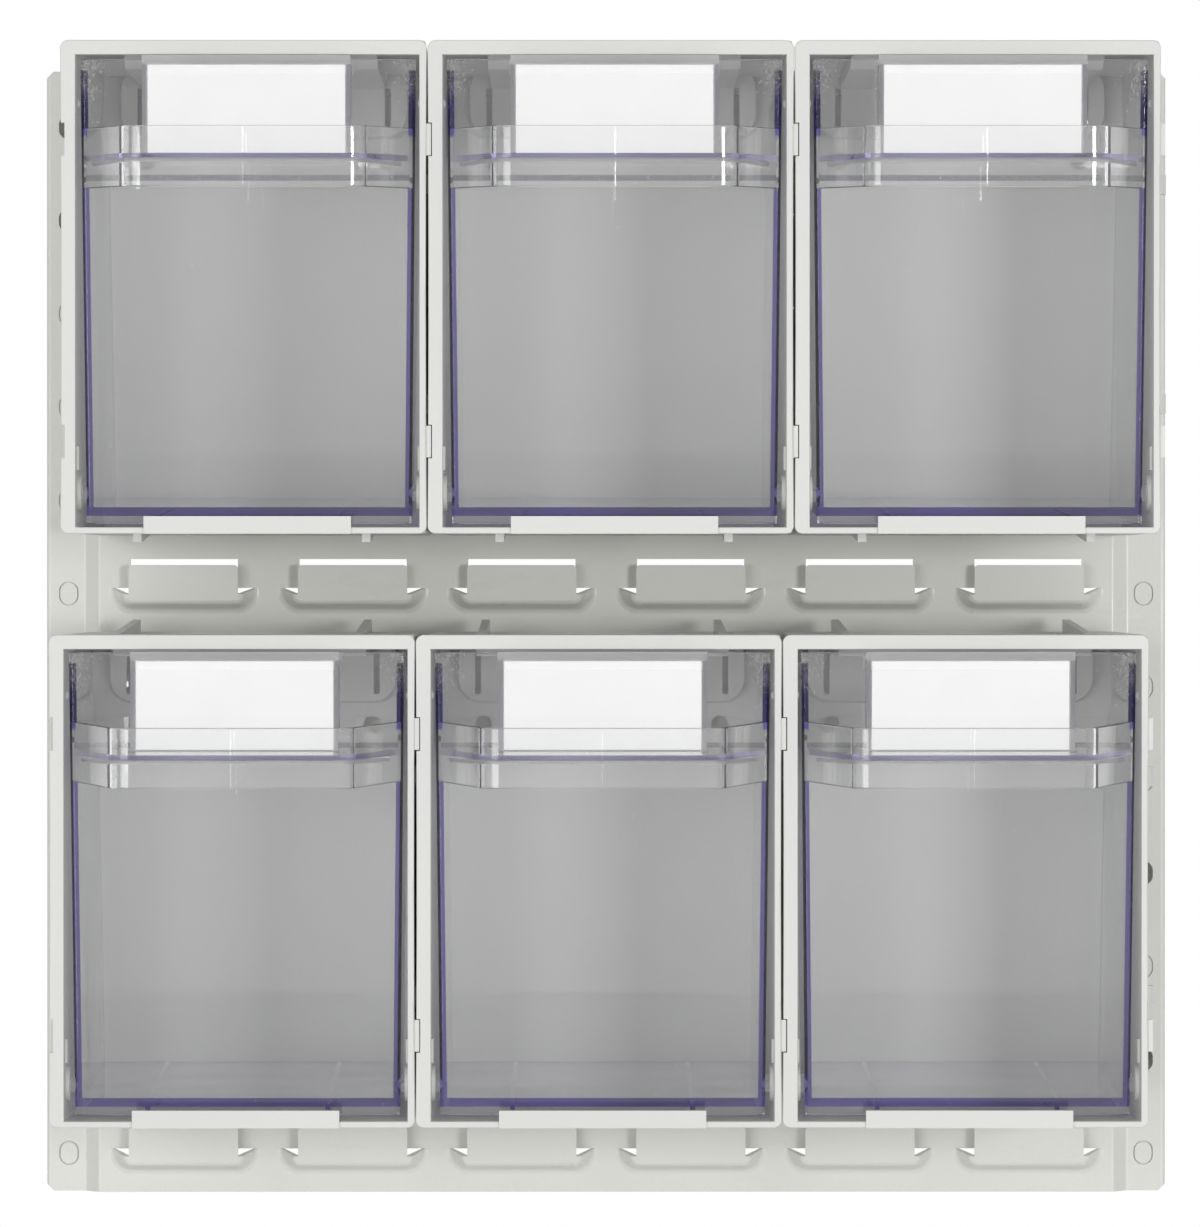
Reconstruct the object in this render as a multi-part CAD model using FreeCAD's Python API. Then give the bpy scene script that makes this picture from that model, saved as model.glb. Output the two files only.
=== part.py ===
import FreeCAD, Part
import math
import os

# Wall organizer: six moulded housings, each with a clear tilt bin and a label card,
# hung on a louvred sheet-steel panel.
# Row frame, millimetres: +X to the viewer's right, +Z up, -Y towards the viewer.
# The wall is the plane Y = 0, and the origin is the middle of the panel's four wall holes.
# A module (housing, bin, card) is built in its own frame first: x across from the middle
# of its front frame, y back from the front frame's face, z up from its bottom edge.

# ---- clearances ----
SEAT_GAP = 0.3          # between a piece and what carries it, or a neighbour beside it
HANG_GAP = 0.2          # between a hanging rail and the tongues that it rests on
PIN_GAP = 0.08          # radial, pivot stud in its bearing
SCREW_GAP = 0.25        # radial, screw shank in its hole
LID_GAP = 2.0           # between a tilting bin's side walls and the ceiling above
LIP_GAP = 0.5           # between the tongues and the rail's lip behind them
CASE_BACK_GAP = 0.8     # between the housing's back and the tongues' front

# ---- louvred panel ----
PANEL_W = 400.0
PANEL_H = 400.0
SHEET_T = 1.25
FLANGE_OFF = 12.0       # from the wall to the side flanges' front
FIELD_RISE = 5.0        # how far the field stands in front of the flanges
FIELD_HALF = 181.0      # half-width of the raised field
RAMP_W = 5.0            # width of the slope between field and flange
RETURN_W = 16.0         # strip folded in against the wall
EDGE_RETURN = 11.0      # depth of the field's top and bottom folds
BEND_R = 1.5            # outside radius of the folds seen from the front
FOLD_LAP = 1.9          # strip of the field that is built with each side fold
CORNER_CUT = 2.5        # chamfer at the panel's four corners

LOUVRE_COLS = 6
LOUVRE_ROWS = 12
LOUVRE_PITCH_X = 60.2
FIRST_SLIT = 17.8       # from the panel's top to the first row's slit
TONGUE_W = 38.9
TONGUE_UP = 8.2         # height of the tongue above the slit
TONGUE_OFF = 6.0        # tongue's front face in front of the field
TONGUE_R = 1.4          # rounding of the tongue's upper corners
CUTOUT_UP = 10.3        # height of the opening above the slit
CUTOUT_IN = 0.35        # opening narrower than the drawn-out tongue, each side
SCOOP_W = 51.6          # width of the pressed scoop at the slit, on the field
SCOOP_DOWN = 7.8        # depth of the scoop below the slit, on the field
SCOOP_R = 7.0           # lower corner radius of the scoop, on the field
SCOOP_FRONT_W = 42.0    # the same three at the tongue's plane
SCOOP_FRONT_DOWN = 5.4
SCOOP_FRONT_R = 2.8
SCOOP_DIP = 2.3         # how far the scoop's open top falls from the field to the tongue's plane
SCOOP_FOOT_R = 2.2      # rounding where the field turns up into the scoop
SCOOP_EDGE_R = 1.6      # rounding where the scoop turns into the tongue's plane
TILE_MARGIN = 2.4       # field round each louvre that is built with it

SLOT_INSET = 7.9        # access slot's centre from the panel's edge
SLOT_HALF_W = 3.5
SLOT_STRAIGHT = 1.7     # straight part of the vertical slot
FIRST_SLOT = 19.8       # from the panel's top to the first access slot
GROOVE_W = 0.5
GROOVE_DEEP = 0.8
WALL_HOLE_R = 2.25
MOUNT_ROWS = (0, 8)     # slot rows whose wall holes are left free for mounting
SCREW_ROWS = (1, 10)    # slot rows that hold the panel's own screws; the others are knock-outs
SCREW_HEAD_R = 3.1
SCREW_HEAD_H = 2.2
RECESS_W = 0.8          # width of the cross recess in a screw head
RECESS_D = 1.2

# ---- housing ----
MODULE_COLS = 3
MODULE_PITCH_X = 123.5
ROW_LOUVRES = 6         # louvre rows from one row of housings to the next
ROW_SHIFT = (1.0, -3.0)  # sideways play taken up by the upper and lower row
CASE_H = 166.0
CASE_DEPTH = 118.2
CASE_CORNER_R = 2.7
CASE_BOW = 0.3          # how far the frame's sides curve in at mid-height
CASE_INSET = 0.4        # side wall's outside behind the frame's right edge
FRAME_T = 3.0           # depth of the front frame
FRAME_ROUND = 0.5       # rounding of the frame's front edges
BAR_LEFT = 5.1
BAR_RIGHT = 2.5
BAR_TOP = 4.9
BAR_BOTTOM = 2.2
WALL_T = 1.8
ROOF_T = 3.0
WALL_DRAFT = 0.5        # how far each side wall closes in towards the back
FRONT_LIP_W = 69.7
FRONT_LIP_H = 5.9
FRONT_LIP_PROUD = 0.8
FRONT_LIP_T = 2.8
TAB_Z = (31.0, 132.6)   # centres of the joining tabs on the right edge
TAB_H = 10.7
TAB_OUT = 1.5
TAB_BACK = 0.8          # tab's front behind the frame's face
TAB_T = 1.6
HOOK_Z = (44.0, 118.0)  # centres of the ramped hooks behind the frame
HOOK_H = 6.5
HOOK_OUT = 2.6
HOOK_Y = 8.0
HOOK_LONG = 8.0
PEG_X = 39.0
PEG_T = 2.9
PEG_H = 2.6
PEG_Y = 27.0
PEG_LONG = 3.0
PEG_GUSSET = 47.0
FIN_X = 40.9
FIN_T = 2.7
FIN_H = 4.4
FIN_FRONT = 5.0
FIN_SHORT = 10.2        # fin's end in front of the housing's back
ROOF_PLATE_IN = 14.8    # lowered plate under the roof, in from the opening's sides
ROOF_PLATE_FRONT = 16.0
ROOF_PLATE_RAMP = 14.0  # plate slopes up to the roof over this depth at its front
ROOF_PLATE_DROP = 2.6   # plate's face below the frame's opening
ROOF_PLATE_R = 5.0
POCKET_SIDE_IN = 7.3    # pressed-in panel at the back, in from the opening's sides
POCKET_DOWN = 19.5      # its height below the opening's top
POCKET_IN = 6.0         # how far it stands into the housing
POCKET_R = 8.0
KEY_SLOT_IN = 14.0      # slots in the pressed-in panel, in from the opening's sides
KEY_SLOT_W = 2.1
KEY_SLOT_DOWN = 17.0
BACK_HOLE_IN = 15.8     # holes under them, in from the opening's sides
BACK_HOLE_R = 3.1
BACK_HOLE_DOWN = 28.0
RAIL_SIDE_IN = 5.8      # hanging rail, in from the opening's sides
RAIL_T = 2.0            # thickness of the lip behind the tongues
RAIL_BRIDGE = 3.0       # thickness of the bridge over the tongues
RAIL_REACH = 6.0        # how far the lip hangs below the tongue's top
GUIDE_Y = (6.0, 16.0)   # guide pad on each inner side wall
GUIDE_Z = (21.5, 29.5)
GUIDE_T = 0.7
BEARING_R = 6.0         # boss around the pivot on each inner side wall
BEARING_T = 1.2
DETENT_Y = 12.0
DETENT_DOWN = 20.5      # detent's centre below the frame's top
DETENT_R = 2.0
DETENT_OUT = 0.9

# ---- tilt bin ----
BIN_SHIFT = (BAR_LEFT - BAR_RIGHT) / 2   # the bin is centred in the opening
PIVOT_Y = 14.0
PIVOT_Z = 14.0
FACE_T = 2.4
SIDE_T = 2.4
FLOOR_T = 3.0
BACK_T = 2.2
FACE_FOOT_Y = 11.5      # face's front at its lower edge
FACE_FOOT_Z = 3.4
FACE_TOP_Y = 5.0        # face's front at its upper edge
FACE_TOP_GAP = 1.1      # below the opening's upper edge
BIN_SIDE_GAP = 1.2      # between the bin's upper edge and each side wall
BIN_DRAFT = 1.6         # how much each side is narrower at the foot
FLOOR_FRONT_Z = 6.1     # underside of the floor behind the face
FLOOR_BACK_Z = 10.5
BACK_GAP = 0.9          # behind the bin's foot
BACK_RUN = 12.5         # back wall's top in front of its foot
FLOOR_RIB_X = 30.5
FLOOR_RIB_T = 1.6
FLOOR_RIB_H = 1.2
STUD_R = 3.0
STUD_END_GAP = 0.4      # stud's end short of the bearing's bottom
STUD_SINK = 2.2         # depth of the bearing from the boss's face into the wall
STOP_IN = 1.0           # stop lug's centre in front of the side wall's rear top corner
STOP_R = 1.6
STOP_OUT = 0.9

GRIP_SIDE_IN = 1.0      # grip's ends in from the face's upper corners
GRIP_SLANT_W = 16.4     # width of each slanted end, up to the flat front
GRIP_OUT = 34.4         # how far its front stands off the face
GRIP_H = 20.3
GRIP_T = 2.0
GRIP_R = 8.0
GRIP_DOWN = 43.6        # grip's lower edge below the face's upper edge
WEB_T = 2.0

LABEL_SIDE_IN = 21.7    # label pocket in from the face's upper corners
LABEL_OUT = 12.0        # pocket's front off the face
LABEL_T = 1.4
LABEL_RISE = 0.8        # pocket's top above the face's upper edge
LABEL_BEAD_H = 2.6
LABEL_BEAD_OUT = 0.9
CLEAR_EDGE_R = 0.5      # rounding of the bin's outer edges
FACE_SIDE_R = 1.4       # rounding down both sides of the face
RIB_W = 2.7
RIB_T = 1.2
CARD_T = 0.4
CARD_DOWN = 2.3         # card's top below the face's upper edge
CARD_HALF_GAP = 0.4     # card's edge from the pocket's side wall

# ---- worked-out places ----
LOUVRE_PITCH_Z = PANEL_H / LOUVRE_ROWS
FIELD_Y = -(FLANGE_OFF + FIELD_RISE)
TONGUE_Y = FIELD_Y - TONGUE_OFF
SCOOP_TIP_R = min(SCOOP_FRONT_R, 0.9 * (SCOOP_FRONT_DOWN - SCOOP_DIP))
TOP_Z = FIRST_SLOT + sum(MOUNT_ROWS) / 2 * LOUVRE_PITCH_Z
LOW_Z = TOP_Z - PANEL_H
SLOT_X = PANEL_W / 2 - SLOT_INSET
CASE_W = MODULE_PITCH_X - SEAT_GAP
CASE_HALF = CASE_W / 2
OPEN_LEFT = -CASE_HALF + BAR_LEFT
OPEN_RIGHT = CASE_HALF - BAR_RIGHT
OPEN_TOP = CASE_H - BAR_TOP
FRONT_Y = TONGUE_Y - CASE_BACK_GAP - CASE_DEPTH
ROW_PITCH = ROW_LOUVRES * LOUVRE_PITCH_Z
TONGUE_TOP_DROP = FIRST_SLIT - TONGUE_UP
OPEN_HALF = (OPEN_RIGHT - OPEN_LEFT) / 2
BIN_TOP_HALF = OPEN_HALF - BIN_SIDE_GAP
BIN_FOOT_HALF = BIN_TOP_HALF - BIN_DRAFT
FACE_TOP_Z = OPEN_TOP - FACE_TOP_GAP
FACE_LEAN = math.degrees(math.atan2(FACE_FOOT_Y - FACE_TOP_Y, FACE_TOP_Z - FACE_FOOT_Z))
FACE_LONG = math.hypot(FACE_FOOT_Y - FACE_TOP_Y, FACE_TOP_Z - FACE_FOOT_Z)
GRIP_HALF = BIN_TOP_HALF - GRIP_SIDE_IN
GRIP_FLAT_HALF = GRIP_HALF - GRIP_SLANT_W
GRIP_FOOT = FACE_LONG - GRIP_DOWN
LABEL_HALF = BIN_TOP_HALF - LABEL_SIDE_IN
LABEL_TOP = FACE_LONG + LABEL_RISE
CARD_TOP = FACE_LONG - CARD_DOWN
BACK_FOOT_Y = CASE_DEPTH - WALL_T - BACK_GAP
BACK_TOP_Y = BACK_FOOT_Y - BACK_RUN
ROOF_Z = OPEN_TOP - ROOF_PLATE_DROP
SIDE_R = ROOF_Z - PIVOT_Z - LID_GAP
TINY = 0.01


def vec(x, y, z):
    return FreeCAD.Vector(x, y, z)


def box(x0, x1, y0, y1, z0, z1):
    return Part.makeBox(x1 - x0, y1 - y0, z1 - z0, vec(x0, y0, z0))


def prism_x(points, x0, x1):
    """Polygon of (y, z) points, run from x0 to x1."""
    loop = [vec(x0, y, z) for y, z in points]
    return Part.Face(Part.makePolygon(loop + loop[:1])).extrude(vec(x1 - x0, 0, 0))


def prism_y(points, y0, y1):
    """Polygon of (x, z) points, run from y0 to y1."""
    loop = [vec(x, y0, z) for x, z in points]
    return Part.Face(Part.makePolygon(loop + loop[:1])).extrude(vec(0, y1 - y0, 0))


def prism_z(points, z0, z1):
    """Polygon of (x, y) points, run from z0 to z1."""
    loop = [vec(x, y, z0) for x, y in points]
    return Part.Face(Part.makePolygon(loop + loop[:1])).extrude(vec(0, 0, z1 - z0))


def rod_x(y, z, r, x0, x1):
    return Part.makeCylinder(r, abs(x1 - x0), vec(min(x0, x1), y, z), vec(1, 0, 0))


def rod_y(x, z, r, y0, y1):
    return Part.makeCylinder(r, y1 - y0, vec(x, y0, z), vec(0, 1, 0))


def slot_y(x, z, half_w, straight, y0, y1):
    """Upright slot with round ends, cut along Y."""
    body = box(x - half_w, x + half_w, y0, y1, z - straight / 2, z + straight / 2)
    ends = [rod_y(x, z + side * straight / 2, half_w, y0, y1) for side in (-1, 1)]
    return body.multiFuse(ends).removeSplitter()


def rounded_rect(x0, x1, z0, z1, r, y):
    """Upright rectangle at depth y with its four corners rounded."""
    k = r * (1 - math.sqrt(0.5))
    corners = [
        ((x1 - r, z0), (x1 - k, z0 + k), (x1, z0 + r)),
        ((x1, z1 - r), (x1 - k, z1 - k), (x1 - r, z1)),
        ((x0 + r, z1), (x0 + k, z1 - k), (x0, z1 - r)),
        ((x0, z0 + r), (x0 + k, z0 + k), (x0 + r, z0)),
    ]
    edges = []
    for i, (start, middle, end) in enumerate(corners):
        a, b, c = (vec(px, y, pz) for px, pz in (start, middle, end))
        nxt = corners[(i + 1) % 4][0]
        edges.append(Part.Arc(a, b, c).toShape())
        edges.append(Part.makeLine(c, vec(nxt[0], y, nxt[1])))
    return Part.Wire(edges)


def loft(*wires):
    return Part.makeLoft(list(wires), True, True)


def same_edges(shape, wanted):
    """The shape's own edges whose middles are those of the wanted ones."""
    spots = [e.CenterOfMass for e in wanted]
    return [e for e in shape.Edges if any(e.CenterOfMass.distanceToPoint(s) < TINY for s in spots)]


def cup_outline(half_w, low, r, y, z):
    """Upright outline at depth y from height low up to z, its two lower corners of radius r."""
    k = r * (1 - math.sqrt(0.5))
    pts = [vec(x, y, h) for x, h in (
        (-half_w, z), (-half_w, low + r), (-half_w + k, low + k), (-half_w + r, low),
        (half_w - r, low), (half_w - k, low + k), (half_w, low + r), (half_w, z))]
    edges = [
        Part.makeLine(pts[0], pts[1]),
        Part.Arc(pts[1], pts[2], pts[3]).toShape(),
        Part.makeLine(pts[3], pts[4]),
        Part.Arc(pts[4], pts[5], pts[6]).toShape(),
        Part.makeLine(pts[6], pts[7]),
        Part.makeLine(pts[7], pts[0]),
    ]
    return Part.Wire(edges)


# ---------------------------------------------------------------- louvred panel

def scoop_foot(shrink, rise):
    """The scoop's outline on the field, moved in by shrink and its top raised by rise."""
    return cup_outline(SCOOP_W / 2 - shrink, shrink - SCOOP_DOWN, SCOOP_R - shrink, FIELD_Y, rise)


def scoop_front(shrink, y, rise):
    """The same at its front end, at depth y."""
    return cup_outline(SCOOP_FRONT_W / 2 - shrink, shrink - SCOOP_FRONT_DOWN, SCOOP_TIP_R - shrink,
                       y, rise - SCOOP_DIP)


def tile_box():
    """Block of the field that one louvre is built with, about x = 0 and the slit at z = 0."""
    half = SCOOP_W / 2 + TILE_MARGIN
    return box(-half, half, FIELD_Y, FIELD_Y + SHEET_T, -SCOOP_DOWN - TILE_MARGIN, CUTOUT_UP + TILE_MARGIN)


def louvre_tile():
    """One louvre in its patch of field: the hole, the soft-edged scoop and the tongue."""
    t = SHEET_T
    hole = Part.Face(louvre_hole_wire()).extrude(vec(0, t, 0))
    scoop = loft(scoop_foot(0, 0), scoop_front(0, TONGUE_Y, 0))
    scoop = scoop.cut(loft(scoop_foot(t, t), scoop_front(t, TONGUE_Y + t, t)))
    tile = tile_box().cut(hole).fuse(scoop).removeSplitter()
    for wire, top, r in ((scoop_front(0, TONGUE_Y, 0), -SCOOP_DIP, SCOOP_EDGE_R),
                         (scoop_foot(0, 0), 0, SCOOP_FOOT_R)):
        bends = [e for e in wire.Edges if e.CenterOfMass.z < top - TINY]
        tile = tile.makeFillet(r, same_edges(tile, bends))
    half = TONGUE_W / 2
    tongue = box(-half, half, TONGUE_Y, TONGUE_Y + t, -SCOOP_DIP - t, TONGUE_UP)
    upper = [e for e in tongue.Edges
             if e.CenterOfMass.z > TONGUE_UP - TINY and abs(abs(e.CenterOfMass.x) - half) < TINY]
    return tile.fuse(tongue.makeFillet(TONGUE_R, upper)).removeSplitter()


def louvre_hole_wire():
    """Hole in the field: the scoop's inside below the slit, the tongue's cut-out above."""
    half = TONGUE_W / 2 - CUTOUT_IN
    wide = SCOOP_W / 2 - SHEET_T
    down = SCOOP_DOWN - SHEET_T
    r = SCOOP_R - SHEET_T
    k = r * (1 - math.sqrt(0.5))
    pts = [vec(px, FIELD_Y, pz) for px, pz in (
        (-half, CUTOUT_UP), (-half, 0), (-wide, 0), (-wide, r - down), (-wide + k, k - down),
        (-wide + r, -down), (wide - r, -down), (wide - k, k - down), (wide, r - down), (wide, 0),
        (half, 0), (half, CUTOUT_UP))]
    edges = [Part.makeLine(pts[i], pts[i + 1]) for i in (0, 1, 2)]
    edges.append(Part.Arc(pts[3], pts[4], pts[5]).toShape())
    edges.append(Part.makeLine(pts[5], pts[6]))
    edges.append(Part.Arc(pts[6], pts[7], pts[8]).toShape())
    edges += [Part.makeLine(pts[i], pts[(i + 1) % 12]) for i in (8, 9, 10, 11)]
    return Part.Wire(edges)


def louvre_row():
    """Strip of the field with one row of louvres, their slits at z = 0."""
    half = FIELD_HALF - FOLD_LAP
    strip = box(-half, half, FIELD_Y, FIELD_Y + SHEET_T, FIRST_SLIT - LOUVRE_PITCH_Z, FIRST_SLIT)
    across = [vec((col - (LOUVRE_COLS - 1) / 2) * LOUVRE_PITCH_X, 0, 0) for col in range(LOUVRE_COLS)]
    one = louvre_tile()
    strip = strip.cut([tile_box().translated(p) for p in across])
    return strip.multiFuse([one.translated(p) for p in across]).removeSplitter()


def side_fold(side):
    """Ramp, flange, edge and return strip of one long side, as one profile run along Z."""
    edge = PANEL_W / 2
    t = SHEET_T
    ramp = math.atan2(FIELD_RISE, RAMP_W)
    shift = t * math.tan(ramp / 2)
    flange = -FLANGE_OFF
    start = FIELD_HALF - FOLD_LAP
    bends = [(FIELD_HALF, FIELD_Y), (FIELD_HALF + RAMP_W, flange), (edge, flange)]
    points = [(start, FIELD_Y)] + bends + [
        (edge, 0), (edge - RETURN_W, 0), (edge - RETURN_W, -t), (edge - t, -t), (edge - t, flange + t),
        (FIELD_HALF + RAMP_W - shift, flange + t), (FIELD_HALF - shift, FIELD_Y + t), (start, FIELD_Y + t),
    ]
    fold = prism_z([(side * x, y) for x, y in points], LOW_Z, TOP_Z)
    middle = (LOW_Z + TOP_Z) / 2
    seen = [Part.makeLine(vec(side * x, y, middle - 1), vec(side * x, y, middle + 1)) for x, y in bends]
    return fold.makeFillet(BEND_R, same_edges(fold, seen))


def wall_places(rows):
    """Centre x and z of the access slots in the given rows, both sides."""
    for row in rows:
        for side in (-1, 1):
            yield side * SLOT_X, TOP_Z - FIRST_SLOT - row * LOUVRE_PITCH_Z


def access_cut(row, x, z):
    """Open access slot, or the shallow groove that outlines a knock-out."""
    front = -FLANGE_OFF
    if row in MOUNT_ROWS + SCREW_ROWS:
        return slot_y(x, z, SLOT_HALF_W, SLOT_STRAIGHT, front - SHEET_T, front + 2 * SHEET_T)
    ring = slot_y(x, z, SLOT_HALF_W, SLOT_STRAIGHT, front - SHEET_T, front + GROOVE_DEEP)
    return ring.cut(slot_y(x, z, SLOT_HALF_W - GROOVE_W, SLOT_STRAIGHT, front - SHEET_T, front + GROOVE_DEEP))


def louvred_panel():
    t = SHEET_T
    row = louvre_row()
    rows = [row.translated(vec(0, 0, TOP_Z - FIRST_SLIT - n * LOUVRE_PITCH_Z)) for n in range(LOUVRE_ROWS)]
    edges = [box(-FIELD_HALF, FIELD_HALF, FIELD_Y + t / 2, FIELD_Y + EDGE_RETURN, z, z + t)
             for z in (LOW_Z, TOP_Z - t)]
    cuts = [access_cut(row, x, z) for row in range(LOUVRE_ROWS) for x, z in wall_places((row,))]
    cuts += [rod_y(x, z, WALL_HOLE_R, -2 * t, t) for x, z in wall_places(MOUNT_ROWS + SCREW_ROWS)]
    c = CORNER_CUT
    edge = PANEL_W / 2
    for side in (-1, 1):
        for z, up in ((LOW_Z, -1), (TOP_Z, 1)):
            tip = [(side * (edge + 1), z + up), (side * (edge - c), z + up), (side * (edge - c), z),
                   (side * edge, z - up * c), (side * (edge + 1), z - up * c)]
            cuts.append(prism_y(tip, FIELD_Y - 1, 1))
    folds = [side_fold(side).cut(cuts) for side in (-1, 1)]
    return rows[0].multiFuse(rows[1:] + edges + folds)


def wall_screw():
    """Pan-head screw seated on the return strip, about its axis; cut off at the wall plane."""
    seat = -SHEET_T
    head = Part.makeCylinder(SCREW_HEAD_R, SCREW_HEAD_H, vec(0, seat, 0), vec(0, -1, 0))
    rim = [e for e in head.Edges if abs(e.CenterOfMass.y - (seat - SCREW_HEAD_H)) < 0.01]
    head = head.makeFillet(SCREW_HEAD_H / 2, rim)
    shank = Part.makeCylinder(WALL_HOLE_R - SCREW_GAP, SHEET_T, vec(0, seat, 0), vec(0, 1, 0))
    arm = SCREW_HEAD_R * 0.6
    top = seat - SCREW_HEAD_H
    half = RECESS_W / 2
    cross = box(-arm, arm, top - 1, top + RECESS_D, -half, half).fuse(
        box(-half, half, top - 1, top + RECESS_D, -arm, arm))
    return head.fuse(shank).cut(cross)


# ---------------------------------------------------------------- housing

def frame_outline(y):
    """The front frame's outer edge: rounded corners and sides that bow in a little."""
    w = CASE_HALF
    h = CASE_H
    r = CASE_CORNER_R
    k = r * (1 - math.sqrt(0.5))

    def arc(*points):
        return Part.Arc(*(vec(px, y, pz) for px, pz in points)).toShape()

    right = [arc((w - r, 0), (w - k, k), (w, r)), arc((w, r), (w - CASE_BOW, h / 2), (w, h - r)),
             arc((w, h - r), (w - k, h - k), (w - r, h))]
    left = [arc((-w + r, h), (-w + k, h - k), (-w, h - r)), arc((-w, h - r), (-w + CASE_BOW, h / 2), (-w, r)),
            arc((-w, r), (-w + k, k), (-w + r, 0))]
    top = Part.makeLine(vec(w - r, y, h), vec(-w + r, y, h))
    foot = Part.makeLine(vec(-w + r, y, 0), vec(w - r, y, 0))
    return Part.Wire(right + [top] + left + [foot])


def front_frame():
    plate = Part.Face(frame_outline(0)).extrude(vec(0, FRAME_T, 0))
    hole = box(OPEN_LEFT, OPEN_RIGHT, -1, FRAME_T + 1, BAR_BOTTOM, OPEN_TOP)
    frame = plate.cut(hole)
    front = [e for e in frame.Edges if abs(e.CenterOfMass.y) < 0.01]
    return frame.makeFillet(FRAME_ROUND, front)


def case_body():
    """Tapering box behind the frame, with the roof plate, the back pocket and their openings."""
    back = CASE_DEPTH
    d = WALL_DRAFT
    left = OPEN_LEFT - WALL_T
    right = CASE_HALF - CASE_INSET
    top = CASE_H
    y0 = FRAME_T - 0.5
    outer = loft(rounded_rect(left, right, 0.2, top, 1.0, y0),
                 rounded_rect(left + d, right - d, 0.2, top, 1.0, back))
    roof = top - ROOF_T
    inner = loft(rounded_rect(OPEN_LEFT, OPEN_RIGHT, BAR_BOTTOM, roof, 0.6, y0 - 1),
                 rounded_rect(OPEN_LEFT + d, OPEN_RIGHT - d, BAR_BOTTOM, roof, 0.6, back - WALL_T))
    cx = BIN_SHIFT
    half = OPEN_HALF - ROOF_PLATE_IN
    plate = prism_z([(cx - half, back - WALL_T / 2), (cx - half, ROOF_PLATE_FRONT),
                     (cx + half, ROOF_PLATE_FRONT), (cx + half, back - WALL_T / 2)],
                    ROOF_Z, roof + 0.5)
    corners = [e for e in plate.Edges if e.Length < roof + 1 - ROOF_Z
               and abs(e.CenterOfMass.y - ROOF_PLATE_FRONT) < 0.01
               and abs(abs(e.CenterOfMass.x - cx) - half) < 0.01]
    foot = ROOF_PLATE_FRONT + ROOF_PLATE_RAMP
    slope = [(ROOF_PLATE_FRONT - 1, ROOF_Z - 1), (foot, ROOF_Z - 1), (foot, ROOF_Z),
             (ROOF_PLATE_FRONT, roof), (ROOF_PLATE_FRONT - 1, roof)]
    plate = plate.makeFillet(ROOF_PLATE_R, corners).cut(prism_x(slope, cx - half - 1, cx + half + 1))
    pocket_half = OPEN_HALF - POCKET_SIDE_IN
    pocket_low = OPEN_TOP - POCKET_DOWN
    face = back - WALL_T - POCKET_IN
    bulge = loft(rounded_rect(cx - pocket_half, cx + pocket_half, pocket_low, top, POCKET_R, face),
                 rounded_rect(cx - pocket_half - 1, cx + pocket_half + 1, pocket_low - 1, top,
                              POCKET_R, back - WALL_T / 2))
    t = WALL_T
    recess = loft(rounded_rect(cx - pocket_half + t, cx + pocket_half - t, pocket_low + t, top - ROOF_T,
                               POCKET_R - t, face + t),
                  rounded_rect(cx - pocket_half + t - 1, cx + pocket_half - t + 1, pocket_low + t - 1,
                               top - ROOF_T, POCKET_R - t, back + 1))
    bulge = bulge.common(box(left + 1, right - 1, 0, back, 0, top - ROOF_T / 2))
    case = outer.cut(inner).fuse([plate, bulge])
    shallow = half - 2 * t
    cuts = [recess, box(cx - shallow, cx + shallow, foot + t, face - t, ROOF_Z + t, top + 1)]
    for side in (-1, 1):
        x = cx + side * (OPEN_HALF - KEY_SLOT_IN)
        cuts.append(box(x - KEY_SLOT_W / 2, x + KEY_SLOT_W / 2, face - 1, back - WALL_T,
                        OPEN_TOP - KEY_SLOT_DOWN, ROOF_Z))
        cuts.append(rod_y(cx + side * (OPEN_HALF - BACK_HOLE_IN), OPEN_TOP - BACK_HOLE_DOWN, BACK_HOLE_R,
                          back - WALL_T - 1, back + 1))
    return case.cut(cuts)


def hanging_rail():
    """Bridge over the tongues with a lip that drops behind them."""
    tongue_top = CASE_H - TONGUE_TOP_DROP
    tongue_back = CASE_DEPTH + CASE_BACK_GAP + SHEET_T
    lip_front = tongue_back + LIP_GAP
    z0 = tongue_top + HANG_GAP
    rail_half = OPEN_HALF - RAIL_SIDE_IN
    x0, x1 = BIN_SHIFT - rail_half, BIN_SHIFT + rail_half
    profile = [
        (lip_front, z0), (lip_front, tongue_top - RAIL_REACH),
        (lip_front + RAIL_T, tongue_top - RAIL_REACH), (lip_front + RAIL_T, z0 + RAIL_BRIDGE),
        (CASE_DEPTH, z0 + RAIL_BRIDGE), (CASE_DEPTH, CASE_H - ROOF_T / 2),
        (CASE_DEPTH - WALL_T, CASE_H - ROOF_T / 2), (CASE_DEPTH - WALL_T, z0),
    ]
    return prism_x(profile, x0, x1)


def side_wall_x(side, y):
    """Inner face of a side wall at depth y."""
    inset = WALL_DRAFT * y / CASE_DEPTH
    return OPEN_RIGHT - inset if side > 0 else OPEN_LEFT + inset


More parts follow.
